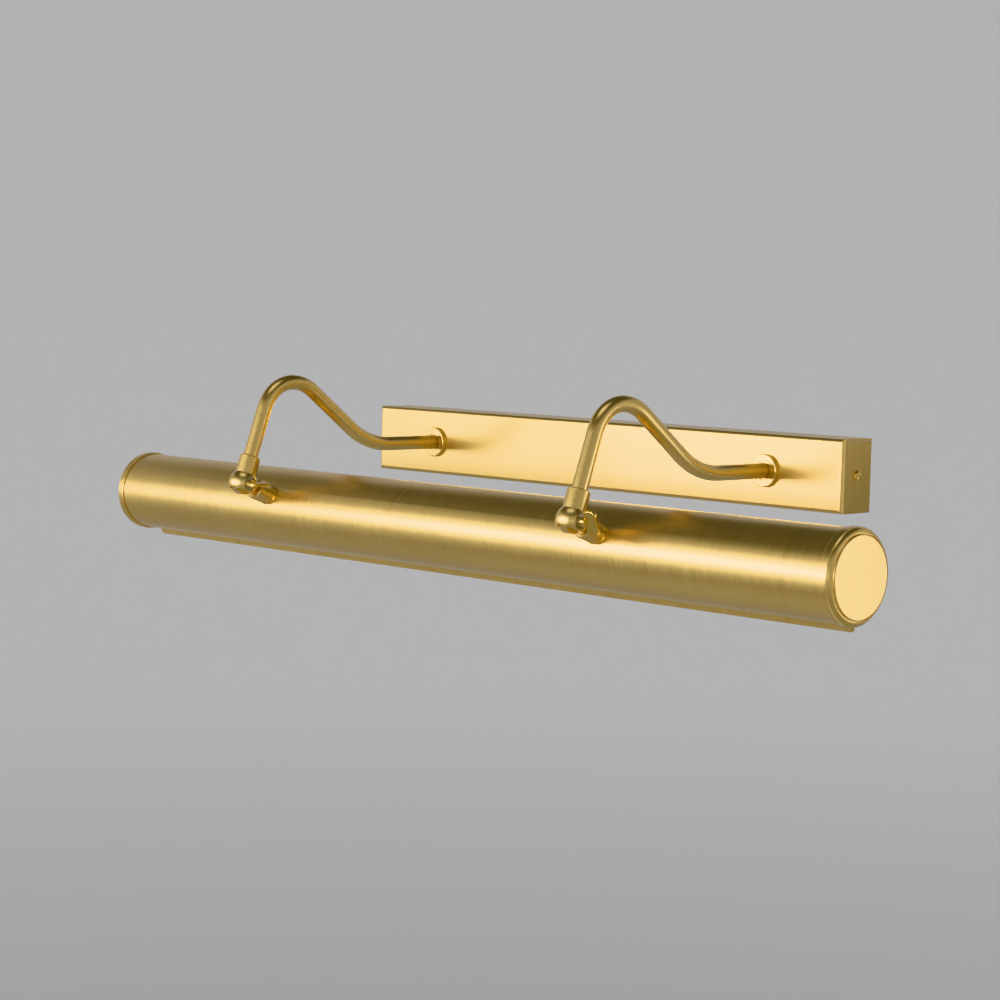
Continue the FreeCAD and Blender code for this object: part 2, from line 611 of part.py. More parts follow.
def make_arm(name, side):
    """A bent tube: out from the cover, up over the shade and down in front of it."""
    body = new_body("arm_" + name, x=f"{side} * arm_spacing / 2")
    route = new_sketch(body, "YZ")
    foot_y = "foot_corner - foot_tangent * cos(arm_slope)"
    foot_z = "foot_tangent * sin(arm_slope)"
    corners = [("0 - arm_back", "0"), ("foot_corner + foot_tangent", "0"),
               (foot_y, foot_z, "0 - foot_radius"), ("rise_y", "rise_z"),
               ("0 - arm_out", "arm_top", "rise_radius"), ("fall_y", "fall_z", "fall_radius"),
               ("arm_end_y", "arm_end_z")]
    draw(route, corners, closed=False)
    section = new_sketch(body, "XZ", offset="arm_back")
    draw_circle(section, "0", "0", "arm_radius")
    draw_circle(section, "0", "0", "arm_bore")
    pipe = body.newObject("PartDesign::AdditivePipe", "arm_pipe")
    pipe.Profile = section
    pipe.Spine = (route, [f"Edge{index}" for index in range(1, len(corners))])
    doc.recompute()
    keep(body)


def make_rosette(name, side):
    """A turned brass disc that locks the arm against the front of the cover."""
    body = new_body("rosette_" + name, x=f"{side} * arm_spacing / 2", y="0 - cover_depth")
    bore, recess = "arm_radius + thread_gap", "arm_radius + rosette_recess"
    front, floor = "0 - rosette_thickness", "rosette_recess - rosette_thickness"
    corners = [(bore, "0"), (bore, floor), (recess, floor), (recess, front),
               ("rosette_radius - rosette_round", front),
               ("rosette_radius", "rosette_round - rosette_thickness", "rosette_round"),
               ("rosette_radius", "0")]
    revolve(body, "XY", "V_Axis", corners)
    keep(body)


def hexagon(flats):
    """Corners of a hexagon, two of them on the X axis."""
    corner = f"{flats} / 2 / cos(30)"
    across = [(corner, 0), (corner + " / 2", 1), ("0 - " + corner + " / 2", 1),
              ("0 - " + corner, 0), ("0 - " + corner + " / 2", -1), (corner + " / 2", -1)]
    return [(x, f"{up} * {flats} / 2" if up else "0") for x, up in across]


def make_nut(label, x, y, z, start, turn=None):
    """An M10 thin nut about -Y; its rear face is at start."""
    body = new_body(label, x=x, y=y, z=z, turn=turn)
    pad(body, "XZ", "nut_thickness", hexagon("nut_flats"),
        circles=[("0", "0", "arm_radius + thread_gap")], offset=start)
    return body


def make_washer(label, x, y, z, start, turn=None):
    """An M10 lock washer about -Y; its rear face is at start."""
    body = new_body(label, x=x, y=y, z=z, turn=turn)
    pad(body, "XZ", "washer_thickness", offset=start,
        circles=[("0", "0", "washer_radius"), ("0", "0", "arm_radius + screw_gap")])
    return body


def make_arm_fixings():
    """A lock washer and a nut hold each arm from inside the cover."""
    nuts, washers = [], []
    for name, side in SIDES:
        x = f"{side} * arm_spacing / 2"
        nuts.append(make_nut("arm_nut_" + name, x, "0", "0", "arm_back + arm_inside"))
        washers.append(make_washer("arm_washer_" + name, x, "0", "0",
                                   "arm_back + arm_inside + nut_thickness"))
    group("arm_nuts", nuts)
    group("arm_lock_washers", washers)


# ---------------------------------------------------------------- knuckles

def make_knuckle_body(name, side):
    """A collar on the arm's end with a slotted ball below it."""
    body = new_body("knuckle_body_" + name, x=f"{side} * arm_spacing / 2", y="pivot_y", z="pivot_z",
                    turn="0 - leg_lean")
    socket = "arm_radius + thread_gap"
    corners = [("wire_bore", "0 - ball_flat"), ("flat_radius", "0 - ball_flat"),
               ("ball_radius", "0", "ball_radius"), ("collar_radius", "ball_junction", "ball_radius"),
               ("collar_radius", "collar_top - collar_edge"), ("collar_radius - collar_edge", "collar_top"),
               (socket, "collar_top"), (socket, "arm_stop"), ("wire_bore", "arm_stop")]
    revolve(body, "XZ", "V_Axis", corners)
    cut_slot(body, circles=[("0", "0", "slot_radius")])
    cut_slot(body, box_corners("0 - ball_radius", "0 - ball_radius", "ball_radius", "0 - slot_notch"))
    cut_slot(body, box_corners("0", "0 - ball_radius", "ball_radius", "slot_rise"))
    pocket(body, "YZ", circles=[("0", "0", "spot_radius")], offset="spot_place", length="ball_radius",
           onward=True)
    pocket(body, "YZ", circles=[("0", "0", "screw_radius + screw_gap")], length="ball_radius", onward=True)
    pocket(body, "YZ", circles=[("0", "0", "screw_radius + thread_gap")], length="blind_end")
    keep(body)


def cut_slot(body, corners=(), circles=()):
    """Cut an outline in the YZ plane as wide as the slot, half to each side."""
    return pocket(body, "YZ", corners, circles, length="slot_width", offset="slot_width / 2")


def make_knuckle_tongue(name, side):
    """A blade in the ball's slot, and the barrel that carries the shade."""
    body = new_body("knuckle_tongue_" + name, x=f"{side} * arm_spacing / 2", y="pivot_y", z="pivot_z",
                    turn="0 - barrel_dip")
    thickness = "slot_width - 2 * blade_gap"
    pad(body, "YZ", thickness, circles=[("0", "0", "blade_radius")], midplane=True)
    pad(body, "YZ", thickness, box_corners("0", "0 - neck_height / 2", "barrel_start + barrel_edge",
                                            "neck_height / 2"), midplane=True)
    bore, floor = "arm_radius + thread_gap", "barrel_reach - nipple_depth - blind_gap"
    heel = "shade_reach - sqrt(shade_radius ^ 2 - barrel_radius ^ 2) + blind_gap"
    corners = [("0", "barrel_start"), ("barrel_radius - barrel_edge", "barrel_start"),
               ("barrel_radius", "barrel_start + barrel_edge"),
               ("barrel_radius", "barrel_reach - barrel_toe"),
               ("barrel_radius - barrel_toe * toe_slope", heel), (bore, heel), (bore, floor), ("0", floor)]
    revolve(body, "XY", "V_Axis", corners)
    pocket(body, "YZ", circles=[("shade_reach", "0", "shade_radius")])
    pocket(body, "YZ", circles=[("0", "0", "screw_radius + thread_gap")])
    keep(body)


def make_clamp_washer(name, side):
    """A plain zinc washer in the ball's spot face."""
    body = new_body("clamp_washer_" + name, x=f"{side} * arm_spacing / 2", y="pivot_y", z="pivot_z")
    pad(body, "YZ", "clamp_washer_thickness", offset="spot_place",
        circles=[("0", "0", "clamp_washer_radius"), ("0", "0", "screw_radius + screw_gap")])
    keep(body)


def make_wing_screw(name, side):
    """A thumb screw with a flat wing; it clamps the blade between the ball's cheeks."""
    body = new_body("wing_screw_" + name, x=f"{side} * arm_spacing / 2", y="pivot_y", z="pivot_z",
                    turn="wing_turn_" + name)
    start, tip = "wing_start + thread_gap", "tip_gap - blind_end"
    end = "wing_start + wing_collar_length"
    low, far = f"{end} - wing_sink", f"{end} - wing_sink + wing_length"
    wing = pad(body, "XZ", "wing_thickness", box_corners(low, "0 - wing_height / 2", far, "wing_height / 2"),
               midplane=True)
    across = edges_where(wing, lambda point: True, "wing_thickness")
    rounded = round_edges(body, wing, across, "wing_corner")
    outline = edges_where(rounded, lambda point: near(point.y, number("wing_thickness / 2")))
    outline += edges_where(rounded, lambda point: near(point.y, number("0 - wing_thickness / 2")))
    round_edges(body, rounded, outline, "wing_edge")
    corners = [(tip, "0"), (tip, "screw_radius"), (start, "screw_radius"), (start, "wing_collar_radius"),
               (f"{end} - wing_edge", "wing_collar_radius"), (end, "wing_collar_radius - wing_edge"),
               (end, "0")]
    revolve(body, "XZ", "H_Axis", corners)
    keep(body)


# ---------------------------------------------------------------- shade

def shade_body(label, x="0"):
    """A body in the shade's own frame."""
    return new_body(label, x=x, y="shade_y", z="shade_z", turn="0 - barrel_dip")


def ray(angle, radius, across="0"):
    """A point at an angle round from the barrel, and across its ray by a distance."""
    return (f"0 - ({radius}) * cos({angle}) + ({across}) * sin({angle})",
            f"0 - ({radius}) * sin({angle}) - ({across}) * cos({angle})")


def make_shade_tube():
    """A brass tube with a light slot along it and an outward lip along each slot edge."""
    body = shade_body("shade_tube")
    pad(body, "YZ", "shade_length + 2 * cap_lap", midplane=True,
        circles=[("0", "0", "shade_radius"), ("0", "0", "tube_bore")])
    last = "slot_start + slot_open"
    far = "2 * shade_radius"
    corners = [("0", "0"), ray("slot_start", far), ray("slot_start + slot_open / 2", far), ray(last, far)]
    pocket(body, "YZ", corners)
    inner, outer = "shade_radius - shade_wall / 2", "shade_radius + lip_depth"
    for edge, inward in (("slot_start", "0 - shade_wall"), (last, "shade_wall")):
        corners = [ray(edge, inner), ray(edge, outer), ray(edge, outer, inward), ray(edge, inner, inward)]
        lips = pad(body, "YZ", "shade_length - 2 * lip_gap", corners, midplane=True)
    ends = edges_where(lips, lambda point: math.hypot(point.y, point.z) > number(outer) - 0.05, "shade_wall")
    round_edges(body, lips, ends, "lip_corner")
    pocket(body, "XZ", circles=[(f"{side} * arm_spacing / 2", "0", "arm_radius + screw_gap")
                                for name, side in SIDES], length="2 * shade_radius", onward=True)
    keep(body)


def make_end_cap(name, side):
    """A pressed cap: straight rim, rounded shoulder, fine groove and a raised flat disc."""
    body = shade_body("end_cap_" + name)

    def at(place, radius, bend=None):
        point = (f"{side} * (seam + {place})", radius)
        if bend is None:
            return point
        return point + (bend if side > 0 else f"0 - ({bend})",)

    groove_out = "disc_radius + cap_groove"
    corners = [
        at("0", "cap_inside"), at("0", "cap_outside - cap_lip"), at("cap_lip", "cap_outside", "0 - cap_lip"),
        at("cap_rim", "cap_outside"), at("cap_rim + cap_step", "cap_outside - cap_step", "0 - cap_step"),
        at("groove_place", groove_out, "0 - cap_shoulder * shoulder_round"),
        at("groove_place - cap_groove", "disc_radius + cap_groove / 2"),
        at("groove_place - cap_groove", "disc_radius"),
        at("disc_face - disc_round", "disc_radius"),
        at("disc_face", "disc_radius - disc_round", "0 - disc_round"),
        at("disc_face", "0"), at("disc_face - cap_wall", "0"),
        at("disc_face - cap_wall", "disc_radius - disc_round - cap_wall"),
        at("groove_place - cap_groove - cap_wall", "disc_radius - cap_wall"),
        at("cap_rim", "cap_inside"),
    ]
    revolve(body, "XY", "H_Axis", corners)
    keep(body)


def make_shade_fixings():
    """Each barrel is held by a hollow nipple, a lock washer and a nut inside the shade."""
    nipples, nuts, washers = [], [], []
    for name, side in SIDES:
        x = f"{side} * arm_spacing / 2"
        nipple = shade_body("shade_nipple_" + name, x)
        pad(nipple, "XZ", "shade_radius + nipple_depth - nipple_in", offset="nipple_in",
            circles=[("0", "0", "arm_radius"), ("0", "0", "nipple_bore")])
        nipples.append(nipple)
        frame = (x, "shade_y", "shade_z")
        nuts.append(make_nut("shade_nut_" + name, *frame, "shade_nut_out - nut_thickness",
                             turn="0 - barrel_dip"))
        washers.append(make_washer("shade_washer_" + name, *frame, "shade_nut_out", turn="0 - barrel_dip"))
    group("shade_nipples", nipples)
    group("shade_nuts", nuts)
    group("shade_lock_washers", washers)


def make_lamp_bracket(name, side):
    """A bent steel strip from the nipple to the lampholder."""
    body = shade_body("lamp_bracket_" + name)
    start = f"{side} * (arm_spacing / 2 - strip_tail)"
    near_leg, far_leg = f"{side} * holder_place", f"{side} * (holder_place + strip_sheet)"
    corners = [(start, "0 - strip_out"), (far_leg, "0 - strip_out"), (far_leg, "leg_past_axis"),
               (near_leg, "leg_past_axis"), (near_leg, "0 - strip_in"), (start, "0 - strip_in")]
    strip = pad(body, "XY", "strip_width", corners, midplane=True)
    bend = edges_where(strip, lambda point: near(abs(point.x), number("holder_place + strip_sheet"))
                       and near(point.y, -number("strip_out")), "strip_width")
    round_edges(body, strip, bend, "strip_sheet * strip_bend")
    pocket(body, "XZ", circles=[(f"{side} * arm_spacing / 2", "0", "arm_radius + screw_gap")])
    pocket(body, "YZ", circles=[("0", "0", "arm_radius + screw_gap")])
    keep(body)


def make_lampholder(name, side):
    """An E14 holder: insulating body, screw shell, centre contact, and its nipple and nut."""
    def at(place, radius):
        return (f"{side} * (holder_place - ({place}))", radius)

    body = shade_body("lampholder_" + name)
    bore = "arm_radius + thread_gap"
    corners = [at("0", bore), at("0", "holder_radius - holder_edge"), at("holder_edge", "holder_radius"),
               at("holder_length", "holder_radius"), at("holder_length", "holder_cavity"),
               at("holder_base", "holder_cavity"), at("holder_base", "0"),
               at("holder_thread + blind_gap", "0"), at("holder_thread + blind_gap", bore)]
    revolve(body, "XY", "H_Axis", corners)
    port = f"{side} * (holder_place - port_place)"
    pocket(body, "XZ", circles=[(port, "0", "fine_lead_radius + screw_gap")],
           offset="fine_lead_end", length="holder_radius", onward=True)
    keep(body)

    contacts = shade_body("screw_shell_" + name)
    shell_end = "holder_base + shell_length"
    revolve(contacts, "XY", "H_Axis",
            [at("holder_base", "holder_cavity"), at("holder_base", "holder_cavity - shell_wall"),
             at(shell_end, "holder_cavity - shell_wall"), at(shell_end, "holder_cavity")])
    pin = shade_body("centre_contact_" + name)
    revolve(pin, "XY", "H_Axis", [at("holder_base", "0"), at("holder_base", "contact_radius"),
                                  at("holder_base + contact_height", "contact_radius - contact_edge"),
                                  at("holder_base + contact_height", "0")])
    group("lampholder_contacts_" + name, [contacts, pin])


def make_holder_fixings():
    """A short nipple and a nut hold each lampholder to its bracket."""
    nipples, nuts = [], []
    for name, side in SIDES:
        nipple = shade_body("holder_nipple_" + name)
        inner = f"{side} * (holder_place - holder_thread)"
        outer = f"{side} * (holder_place + strip_sheet + nut_thickness + nipple_past)"
        revolve(nipple, "XY", "H_Axis", [(inner, "nipple_bore"), (inner, "arm_radius"),
                                         (outer, "arm_radius"), (outer, "nipple_bore")])
        nipples.append(nipple)
        middle = f"{side} * (holder_place + strip_sheet + nut_thickness / 2)"
        nut = shade_body("holder_nut_" + name, x=middle)
        pad(nut, "YZ", "nut_thickness", hexagon("nut_flats"),
            circles=[("0", "0", "arm_radius + thread_gap")], midplane=True)
        nuts.append(nut)
    group("holder_nipples", nipples)
    group("holder_nuts", nuts)


def make_lamp(name, side):
    """A tubular E14 lamp: metal cap and glass."""
    def at(place, radius, bend=None):
        point = (f"{side} * ({place})", radius)
        if bend is None:
            return point
        return point + (bend if side < 0 else f"0 - ({bend})",)

    cap = shade_body("lamp_cap_" + name)
    revolve(cap, "XY", "H_Axis",
            [at("contact_face", "0"), at("contact_face", "tip_radius"),
             at("contact_face - lamp_tip", "lamp_cap_radius - tip_radius"),
             at("contact_face - lamp_tip", "lamp_cap_radius"),
             at("glass_start", "lamp_cap_radius"), at("glass_start", "0")])
    keep(cap)
    glass = shade_body("lamp_glass_" + name)
    neck = "lamp_cap_radius - glass_seat"
    inside = "glass_radius - glass_wall"
    revolve(glass, "XY", "H_Axis",
            [at("glass_start", neck), at("glass_start - glass_neck / 2", neck),
             at("glass_start - glass_neck", "glass_radius"), at("glass_end + glass_radius", "glass_radius"),
             at("glass_end", "0", "0 - glass_radius"), at("glass_end + glass_wall", "0"),
             at("glass_end + glass_radius", inside, inside),
             at("glass_start - glass_neck", inside),
             at("glass_start - glass_neck / 2", f"{neck} - glass_wall"),
             at("glass_start", f"{neck} - glass_wall")])
    keep(glass)


def make_shade_lead(name, side):
    """The lead from the nipple's bore to the lampholder's side port."""
    x = side * number("arm_spacing / 2")
    port = side * number("holder_place - port_place")
    place = -number("fine_lead_place")
    route = [V(x, -number("shade_radius"), 0), V(x, place, 0), V(port, place, 0),
             V(port, -number("fine_lead_end"), 0)]
    bends = [number("fine_lead_bend"), number("fine_lead_bend")]
    lead = doc.addObject("Part::Feature", "lead_shade_" + name)
    lead.Shape = bent_rod(route, bends, number("fine_lead_radius"))
    lead.Placement = FreeCAD.Placement(V(0, number("shade_y"), number("shade_z")),
                                       FreeCAD.Rotation(V(1, 0, 0), -number("barrel_dip")))
    keep(lead, "lead_shade_" + name)


# ---------------------------------------------------------------- the whole light

make_wall_bracket()
make_cable_grommet()
make_cover()
make_cover_screws()
make_terminal_block()
make_wiring()
make_arm_fixings()
make_shade_tube()
make_shade_fixings()
make_holder_fixings()
for side_name, side_sign in SIDES:
    make_arm(side_name, side_sign)
    make_rosette(side_name, side_sign)
    make_knuckle_body(side_name, side_sign)
    make_knuckle_tongue(side_name, side_sign)
    make_clamp_washer(side_name, side_sign)
    make_wing_screw(side_name, side_sign)
    make_end_cap(side_name, side_sign)
    make_lamp_bracket(side_name, side_sign)
    make_lampholder(side_name, side_sign)
    make_lamp(side_name, side_sign)
    make_shade_lead(side_name, side_sign)

doc.recompute()
for item in doc.Objects:
    if "Invalid" in item.State or "Error" in item.State:
        raise RuntimeError(f"{item.Label} failed: {item.State}")
for sub_part in SUB_PARTS:
    if sub_part.Shape.isNull() or not sub_part.Shape.isValid() or not sub_part.Shape.Solids:
        raise RuntimeError(f"{sub_part.Label} has no valid solid")

os.makedirs("parts", exist_ok=True)
for sub_part in SUB_PARTS:
    sub_part.Shape.exportStep(f"parts/{sub_part.Label}.step")
    print(f"{sub_part.Label}: {len(sub_part.Shape.Solids)} solid(s), {sub_part.Shape.Volume:.0f} mm3")
print(f"{len(SUB_PARTS)} sub-parts")
print(f"pivot at y {number('pivot_y'):.2f}, z {number('pivot_z'):.2f}; "
      f"shade axis at y {number('shade_y'):.2f}, z {number('shade_z'):.2f}")
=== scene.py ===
# %% [markdown]
# # A brass picture light
# The light is a folded brass cover on the wall, two bent arms and a slotted tube that holds two
# lamps. The frame holds every turned, folded and drilled piece at its real size, so this lesson
# adds three things: the finish of each piece, the lamps' finest parts, and a small studio.

# %% Load the frame
import json
import math

import bpy
import numpy as np
from mathutils import Matrix, Vector


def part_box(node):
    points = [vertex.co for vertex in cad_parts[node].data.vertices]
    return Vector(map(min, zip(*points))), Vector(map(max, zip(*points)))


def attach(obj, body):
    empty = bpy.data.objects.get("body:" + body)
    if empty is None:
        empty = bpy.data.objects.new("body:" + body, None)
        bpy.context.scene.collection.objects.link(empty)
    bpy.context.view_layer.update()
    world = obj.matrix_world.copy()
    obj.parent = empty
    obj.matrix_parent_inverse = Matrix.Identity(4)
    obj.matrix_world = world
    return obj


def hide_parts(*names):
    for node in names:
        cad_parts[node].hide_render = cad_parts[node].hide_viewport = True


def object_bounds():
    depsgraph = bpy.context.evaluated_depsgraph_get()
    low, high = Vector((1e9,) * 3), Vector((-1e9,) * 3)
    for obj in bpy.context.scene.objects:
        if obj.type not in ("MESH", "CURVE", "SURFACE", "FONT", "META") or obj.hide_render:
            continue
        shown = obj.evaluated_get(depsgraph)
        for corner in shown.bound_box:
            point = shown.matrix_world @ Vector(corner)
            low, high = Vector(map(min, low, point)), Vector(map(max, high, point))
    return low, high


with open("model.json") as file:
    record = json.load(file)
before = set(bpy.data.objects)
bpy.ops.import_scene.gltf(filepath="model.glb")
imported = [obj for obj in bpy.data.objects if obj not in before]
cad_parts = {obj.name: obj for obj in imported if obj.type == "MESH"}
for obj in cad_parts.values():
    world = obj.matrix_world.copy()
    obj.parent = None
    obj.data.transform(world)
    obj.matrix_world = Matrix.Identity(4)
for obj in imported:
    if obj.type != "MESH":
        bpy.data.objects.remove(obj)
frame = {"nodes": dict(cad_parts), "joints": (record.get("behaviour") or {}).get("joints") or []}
nodes = frame["nodes"]
cad_low, cad_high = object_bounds()
MM = 0.001
print("the light measures, in mm:", [round(size / MM, 1) for size in cad_high - cad_low])

# %% [markdown]
# ## Landmarks
# A maker marks out a few lines before starting: where the arms are, where the pivot is and where
# the shade's axis runs. They are read from the frame, so everything below follows the frame.

# %% Mark out the lines
joints = {joint["name"]: joint for joint in frame["joints"]}
pivot = np.array(joints["shade_tilt"]["pos_m"])
arm_x = joints["wing_turn_right"]["pos_m"][0]
glass_low, glass_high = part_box("lamp_glass_right")
axis_y, axis_z = (glass_low[1] + glass_high[1]) / 2, (glass_low[2] + glass_high[2]) / 2
towards_pivot = np.array([0, pivot[1] - axis_y, pivot[2] - axis_z])
towards_pivot /= np.linalg.norm(towards_pivot)
sideways = np.cross([1, 0, 0], towards_pivot)
print("arms at x =", arm_x, "and the shade's axis at y, z =", round(axis_y, 4), round(axis_z, 4))


def shade_point(x, out, side=0.0):
    """Points at x along the shade's axis, out from it towards the pivot, and to the side."""
    x, out, side = np.broadcast_arrays(x, out, side)
    centre = np.array([0, axis_y, axis_z])
    return (x[..., None] * [1, 0, 0] + centre
            + out[..., None] * towards_pivot + side[..., None] * sideways)


# %% [markdown]
# ## The camera
# A picture light is looked at from a little above its shade and well to one side, so that both its
# front and its end show. A long lens keeps its straight lines calm. The camera is turned by three
# angles, in the order a photographer sets a tripod: round, down, and a touch of roll.

# %% Set up the camera
CAMERA_PLACE = (1.09818, -1.19297, 0.10542)
CAMERA_YAW, CAMERA_PITCH, CAMERA_ROLL = (math.radians(angle) for angle in (45.457, 4.899, 1.287))
LENS_MM, SENSOR_MM = 85.64, 36
NEAREST, FARTHEST = 0.05, 60


def camera_matrix(place, yaw, pitch, roll):
    """The view direction is turned by yaw from +Y, tipped down by pitch and rolled about itself."""
    level = math.cos(pitch)
    ahead = Vector((-math.sin(yaw) * level, math.cos(yaw) * level, -math.sin(pitch)))
    right = Vector((math.cos(yaw), math.sin(yaw), 0))
    up = right.cross(ahead)
    rolled_right = right * math.cos(roll) + up * math.sin(roll)
    rolled_up = up * math.cos(roll) - right * math.sin(roll)
    turned = Matrix((rolled_right, rolled_up, -ahead)).transposed().to_4x4()
    return Matrix.Translation(place) @ turned


camera = bpy.data.objects.new("camera", bpy.data.cameras.new("camera"))
bpy.context.scene.collection.objects.link(camera)
camera.matrix_world = camera_matrix(CAMERA_PLACE, CAMERA_YAW, CAMERA_PITCH, CAMERA_ROLL)
camera.data.lens = LENS_MM
camera.data.sensor_width = SENSOR_MM
camera.data.clip_start, camera.data.clip_end = NEAREST, FARTHEST
bpy.context.scene.camera = camera
bpy.context.scene.view_settings.view_transform = "Khronos PBR Neutral"
print("the camera stands", round(Vector(CAMERA_PLACE).length, 2), "m from the wall bracket")

# %% [markdown]
# ## Surfaces from grids
# Every new piece here is a sheet of points worked out at once with numpy: rows along the piece and
# columns round it. One helper turns such a sheet into a mesh. Where a row closes on itself the last
# column joins the first, and an open end is closed with one flat face, so nothing is left open.


# %% Turn a grid of points into a mesh
def grid_piece(name, points, close_ends=True):
    """Quads join each point to the next in its row and in the row after; each row is a closed ring."""
    rows, columns = points.shape[:2]
    index = np.arange(rows * columns).reshape(rows, columns)
    following = np.roll(index, -1, axis=1)
    quads = np.stack([index[:-1], following[:-1], following[1:], index[1:]], axis=-1).reshape(-1, 4)
    faces = quads.tolist()
    if close_ends:
        faces += [index[0, ::-1].tolist(), index[-1].tolist()]
    mesh = bpy.data.meshes.new(name)
    mesh.from_pydata(points.reshape(-1, 3).tolist(), [], faces)
    mesh.polygons.foreach_set("use_smooth", np.full(len(faces), True))
    mesh.update()
    piece = bpy.data.objects.new(name, mesh)
    bpy.context.scene.collection.objects.link(piece)
    return piece


def outward(piece):
    """Turn a closed piece right side out, so that the sum of its triangles' triple products,
    six times its signed volume, is positive."""
    mesh = piece.data
    mesh.calc_loop_triangles()
    places = np.empty(len(mesh.vertices) * 3)
    mesh.vertices.foreach_get("co", places)
    corners = np.empty(len(mesh.loop_triangles) * 3, dtype=np.int32)
    mesh.loop_triangles.foreach_get("vertices", corners)
    a, b, c = places.reshape(-1, 3)[corners.reshape(-1, 3)].transpose(1, 0, 2)
    if np.einsum("ij,ij->i", a, np.cross(b, c)).sum() < 0:
        mesh.flip_normals()
    return piece


def place_piece(piece, body, material):
    """A piece rides on its body, takes its finish's slot and gets its material."""
    piece.data.materials.append(material)
    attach(outward(piece), body)
    return piece


# %% [markdown]
# ## The studio
# Satin brass only looks like brass when it has something to mirror: a broad bright panel for the
# glow, and darker room above it for depth. The floor is a pale seamless bowl: flat in the
# middle, then a quarter round, then an upright wall, made by turning one line about the vertical.

# %% Make the seamless bowl
FLOOR_DROP = 1.9
BOWL_HOLE, BOWL_FLAT, BOWL_ROUND, BOWL_TOP = 0.01, 2.4, 1.2, 2.6
BOWL_STEPS = 96
STUDIO_CENTRE = np.array([0.0, -0.1, 0.0])


def bowl_points():
    """A flat run, a quarter circle and an upright run, turned about the vertical."""
    flat = np.linspace(BOWL_HOLE, BOWL_FLAT, 6)
    turn = np.linspace(0, math.pi / 2, 24)[1:]
    bent = BOWL_FLAT + BOWL_ROUND * np.sin(turn)
    radius = np.concatenate([flat, bent, [BOWL_FLAT + BOWL_ROUND]])
    height = np.concatenate([0 * flat, BOWL_ROUND * (1 - np.cos(turn)), [FLOOR_DROP + BOWL_TOP]])
    angle = np.linspace(0, 2 * math.pi, BOWL_STEPS, endpoint=False)
    round_x, round_y = radius[:, None] * np.cos(angle), radius[:, None] * np.sin(angle)
    level = np.broadcast_to(height[:, None] - FLOOR_DROP, round_x.shape)
    return np.stack([round_x, round_y, level], axis=-1) + STUDIO_CENTRE


bowl = grid_piece("studio_bowl", bowl_points(), close_ends=False)
bowl.data.flip_normals()
print("the bowl is", 2 * (BOWL_FLAT + BOWL_ROUND), "m across")

# %% [markdown]
# The bowl glows a little by itself, as a lit cyclorama does: painted light, dimmer on the floor and
# rising up the wall, so that the metal's far side still mirrors a calm grey instead of black. The
# room above is dimmer than the bowl.

# %% Paint the bowl and the room
FLOOR_GLOW, WALL_GLOW, ROOM_GLOW = 0.105, 0.265, 0.10
GLOW_TOP = -0.4 * FLOOR_DROP


def new_material(name):
    """A material with one Principled shader; returns it with its node tree and shader."""
    material = bpy.data.materials.new(name)
    material.use_nodes = True
    return material, material.node_tree, material.node_tree.nodes["Principled BSDF"]


paper, tree, shader = new_material("seamless_paper")
shader.inputs["Base Color"].default_value = (0.44, 0.44, 0.445, 1)
shader.inputs["Roughness"].default_value = 0.9
shader.inputs["Emission Color"].default_value = (0.99, 0.99, 1.0, 1)
# Painted light: the paper's glow climbs with height, from FLOOR_GLOW on the floor to WALL_GLOW up the
# wall.
height = tree.nodes.new("ShaderNodeSeparateXYZ")
climb = tree.nodes.new("ShaderNodeMapRange")
for name, number in (("From Min", -FLOOR_DROP), ("From Max", GLOW_TOP),
                     ("To Min", FLOOR_GLOW), ("To Max", WALL_GLOW)):
    climb.inputs[name].default_value = number
tree.links.new(tree.nodes.new("ShaderNodeTexCoord").outputs["Object"], height.inputs["Vector"])
tree.links.new(height.outputs["Z"], climb.inputs["Value"])
tree.links.new(climb.outputs["Result"], shader.inputs["Emission Strength"])
bowl.data.materials.append(paper)

room = bpy.data.worlds.new("room")
room.use_nodes = True
background = room.node_tree.nodes["Background"]
background.inputs["Color"].default_value = (0.93, 0.96, 1.0, 1)
background.inputs["Strength"].default_value = ROOM_GLOW
bpy.context.scene.world = room

# %% [markdown]
# ## The lights
# The front of the cover and the middle of the tube face the same way, and both mirror whatever
# stands to the front left at the height of the light. So one broad, low panel there gives both
# the bright cover and the bright band along the tube, and a dimmer one above it softens the band's
# upper edge. A weak panel far to the left keeps the cover's left end from going dark, one beside
# the camera touches the rounded metal, one at the right end wakes the end disc, and one overhead
# lights the tops of the arms.


# %% Hang the soft panels
def soft_panel(name, place, width, height, power, colour=(1, 1, 1)):
    """A rectangular area light that looks at the middle of the light."""
    light = bpy.data.lights.new(name, "AREA")
    light.shape = "RECTANGLE"
    light.size, light.size_y = width, height
    light.energy = power
    light.color = colour
    panel = bpy.data.objects.new(name, light)
    bpy.context.scene.collection.objects.link(panel)
    target = Vector((0, axis_y / 2, 0))
    panel.location = place
    panel.visible_camera = False
    panel.rotation_euler = (target - Vector(place)).to_track_quat("-Z", "Y").to_euler()


WARM = (1.0, 0.985, 0.96)
soft_panel("front_left_panel", (-0.60, -2.25, 0.055), 2.8, 0.33, 37, WARM)
soft_panel("upper_left_panel", (-0.60, -2.25, 0.45), 2.8, 0.46, 15, WARM)
soft_panel("far_left_panel", (-2.4, -1.3, 0.15), 1.0, 0.6, 2.2, WARM)
soft_panel("camera_side_panel", (1.9, -1.65, 0.02), 0.5, 0.16, 0.7, WARM)
soft_panel("end_panel", (0.80, 0.30, -0.12), 0.34, 0.5, 1.0, WARM)
soft_panel("top_panel", (0.3, -0.6, 2.3), 1.6, 1.2, 6)
print("six soft panels")

# %% [markdown]
# The cover's end and the shade's end disc face the same way, and would mirror the same bright wall.
# A photographer parts them with a flag: a grey card just out of sight that only the cover's end
# mirrors. It is one sheet, turned to face that end.

# %% Hang the flag
FLAG_WIDTH, FLAG_HEIGHT = 0.30, 0.36
FLAG_PLACE = Vector((cad_high[0] - 0.02, 0.15, 0.0))
FLAG_ACROSS = Vector((0.8, -0.6, 0))
CARD_GREY = 0.42


